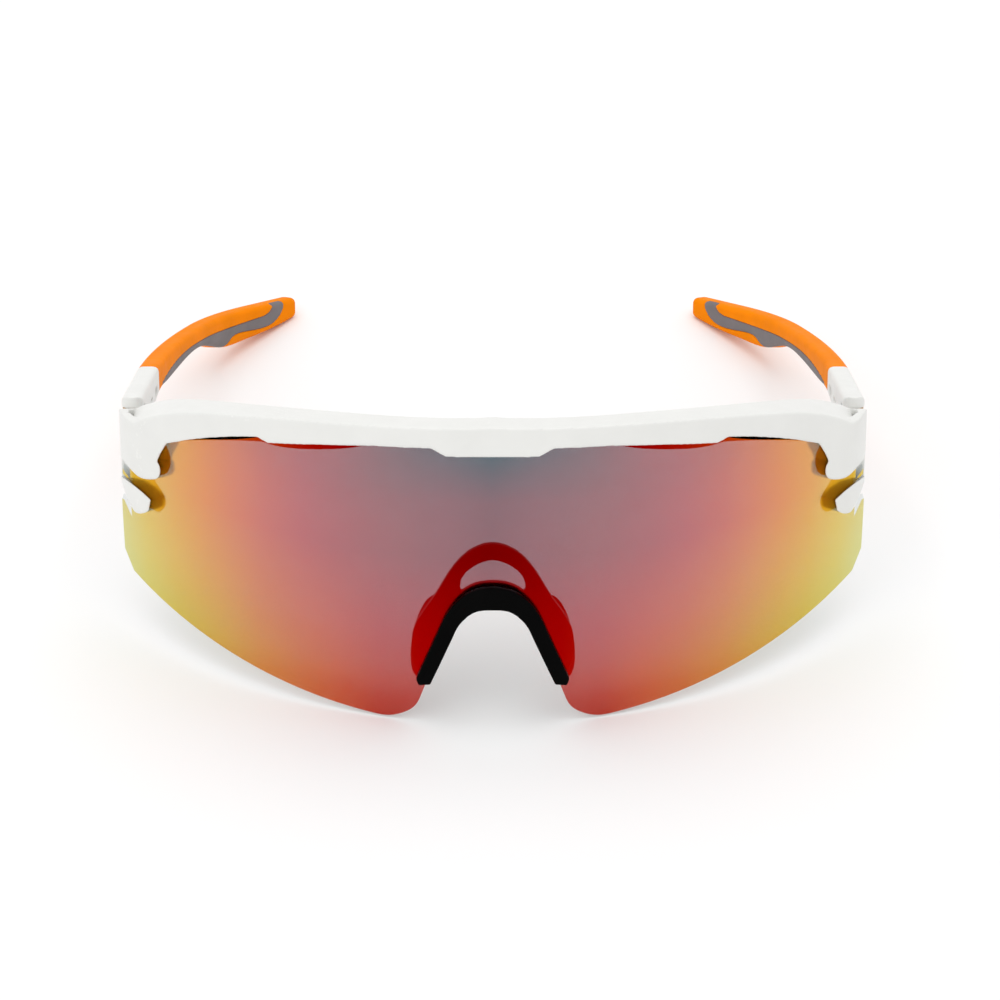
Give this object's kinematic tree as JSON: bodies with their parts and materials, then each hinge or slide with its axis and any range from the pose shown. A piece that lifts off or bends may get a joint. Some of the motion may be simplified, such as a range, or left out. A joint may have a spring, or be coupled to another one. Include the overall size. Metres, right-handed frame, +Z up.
{
  "type": "wraparound sport sunglasses",
  "caption": "Wraparound sport sunglasses: a toric mirrored shield lens under a brow frame, a clip-on nose piece and folding temples with soft tips.",
  "frame": {"origin": "centre of the bounding box, on the surface that the open glasses rest on", "axes": "+X to the right seen from the front, +Y from the lens towards the temple tips, +Z up from the resting surface; the wearer's vertical is tilted 14.6 degrees about X"},
  "size_m": [0.1458, 0.1605, 0.0606],
  "materials": {
    "lens_mirror": "polycarbonate with a red to yellow mirror coating",
    "frame_white": "satin moulded nylon",
    "liner_black": "matte elastomer",
    "carrier_black": "satin moulded nylon",
    "pad_black": "soft matte elastomer",
    "sleeve_orange": "satin moulded plastic",
    "grip_grey": "soft matte elastomer",
    "core_steel": "bendable steel strip",
    "screw_steel": "turned steel",
    "nut_brass": "turned brass",
    "washer_bronze": "stamped bronze"
  },
  "bodies": {
    "front": {"lens": "lens_mirror", "frame_front": "frame_white", "brow_liner": "liner_black", "lens_seat_left": "liner_black", "lens_seat_right": "liner_black", "nose_carrier": "carrier_black", "nose_pad_left": "pad_black", "nose_pad_right": "pad_black"},
    "left_temple": {"temple_arm_left": "frame_white", "temple_sleeve_left": "sleeve_orange", "temple_grip_left": "grip_grey", "temple_core_left": "core_steel", "hinge_screw_left": "screw_steel", "hinge_nut_left": "nut_brass", "hinge_washer_left": "washer_bronze"},
    "right_temple": {"temple_arm_right": "frame_white", "temple_sleeve_right": "sleeve_orange", "temple_grip_right": "grip_grey", "temple_core_right": "core_steel", "hinge_screw_right": "screw_steel", "hinge_nut_right": "nut_brass", "hinge_washer_right": "washer_bronze"}
  },
  "joints": [
    {"name": "left_temple_hinge", "type": "hinge", "parent": "front", "child": "left_temple", "pos_m": [-0.0707, -0.02689, 0.03662], "axis": [0, -0.2521, -0.9677], "range_deg": [0, 88]},
    {"name": "right_temple_hinge", "type": "hinge", "parent": "front", "child": "right_temple", "pos_m": [0.0707, -0.02689, 0.03662], "axis": [0, 0.2521, 0.9677], "range_deg": [0, 76]}
  ]
}
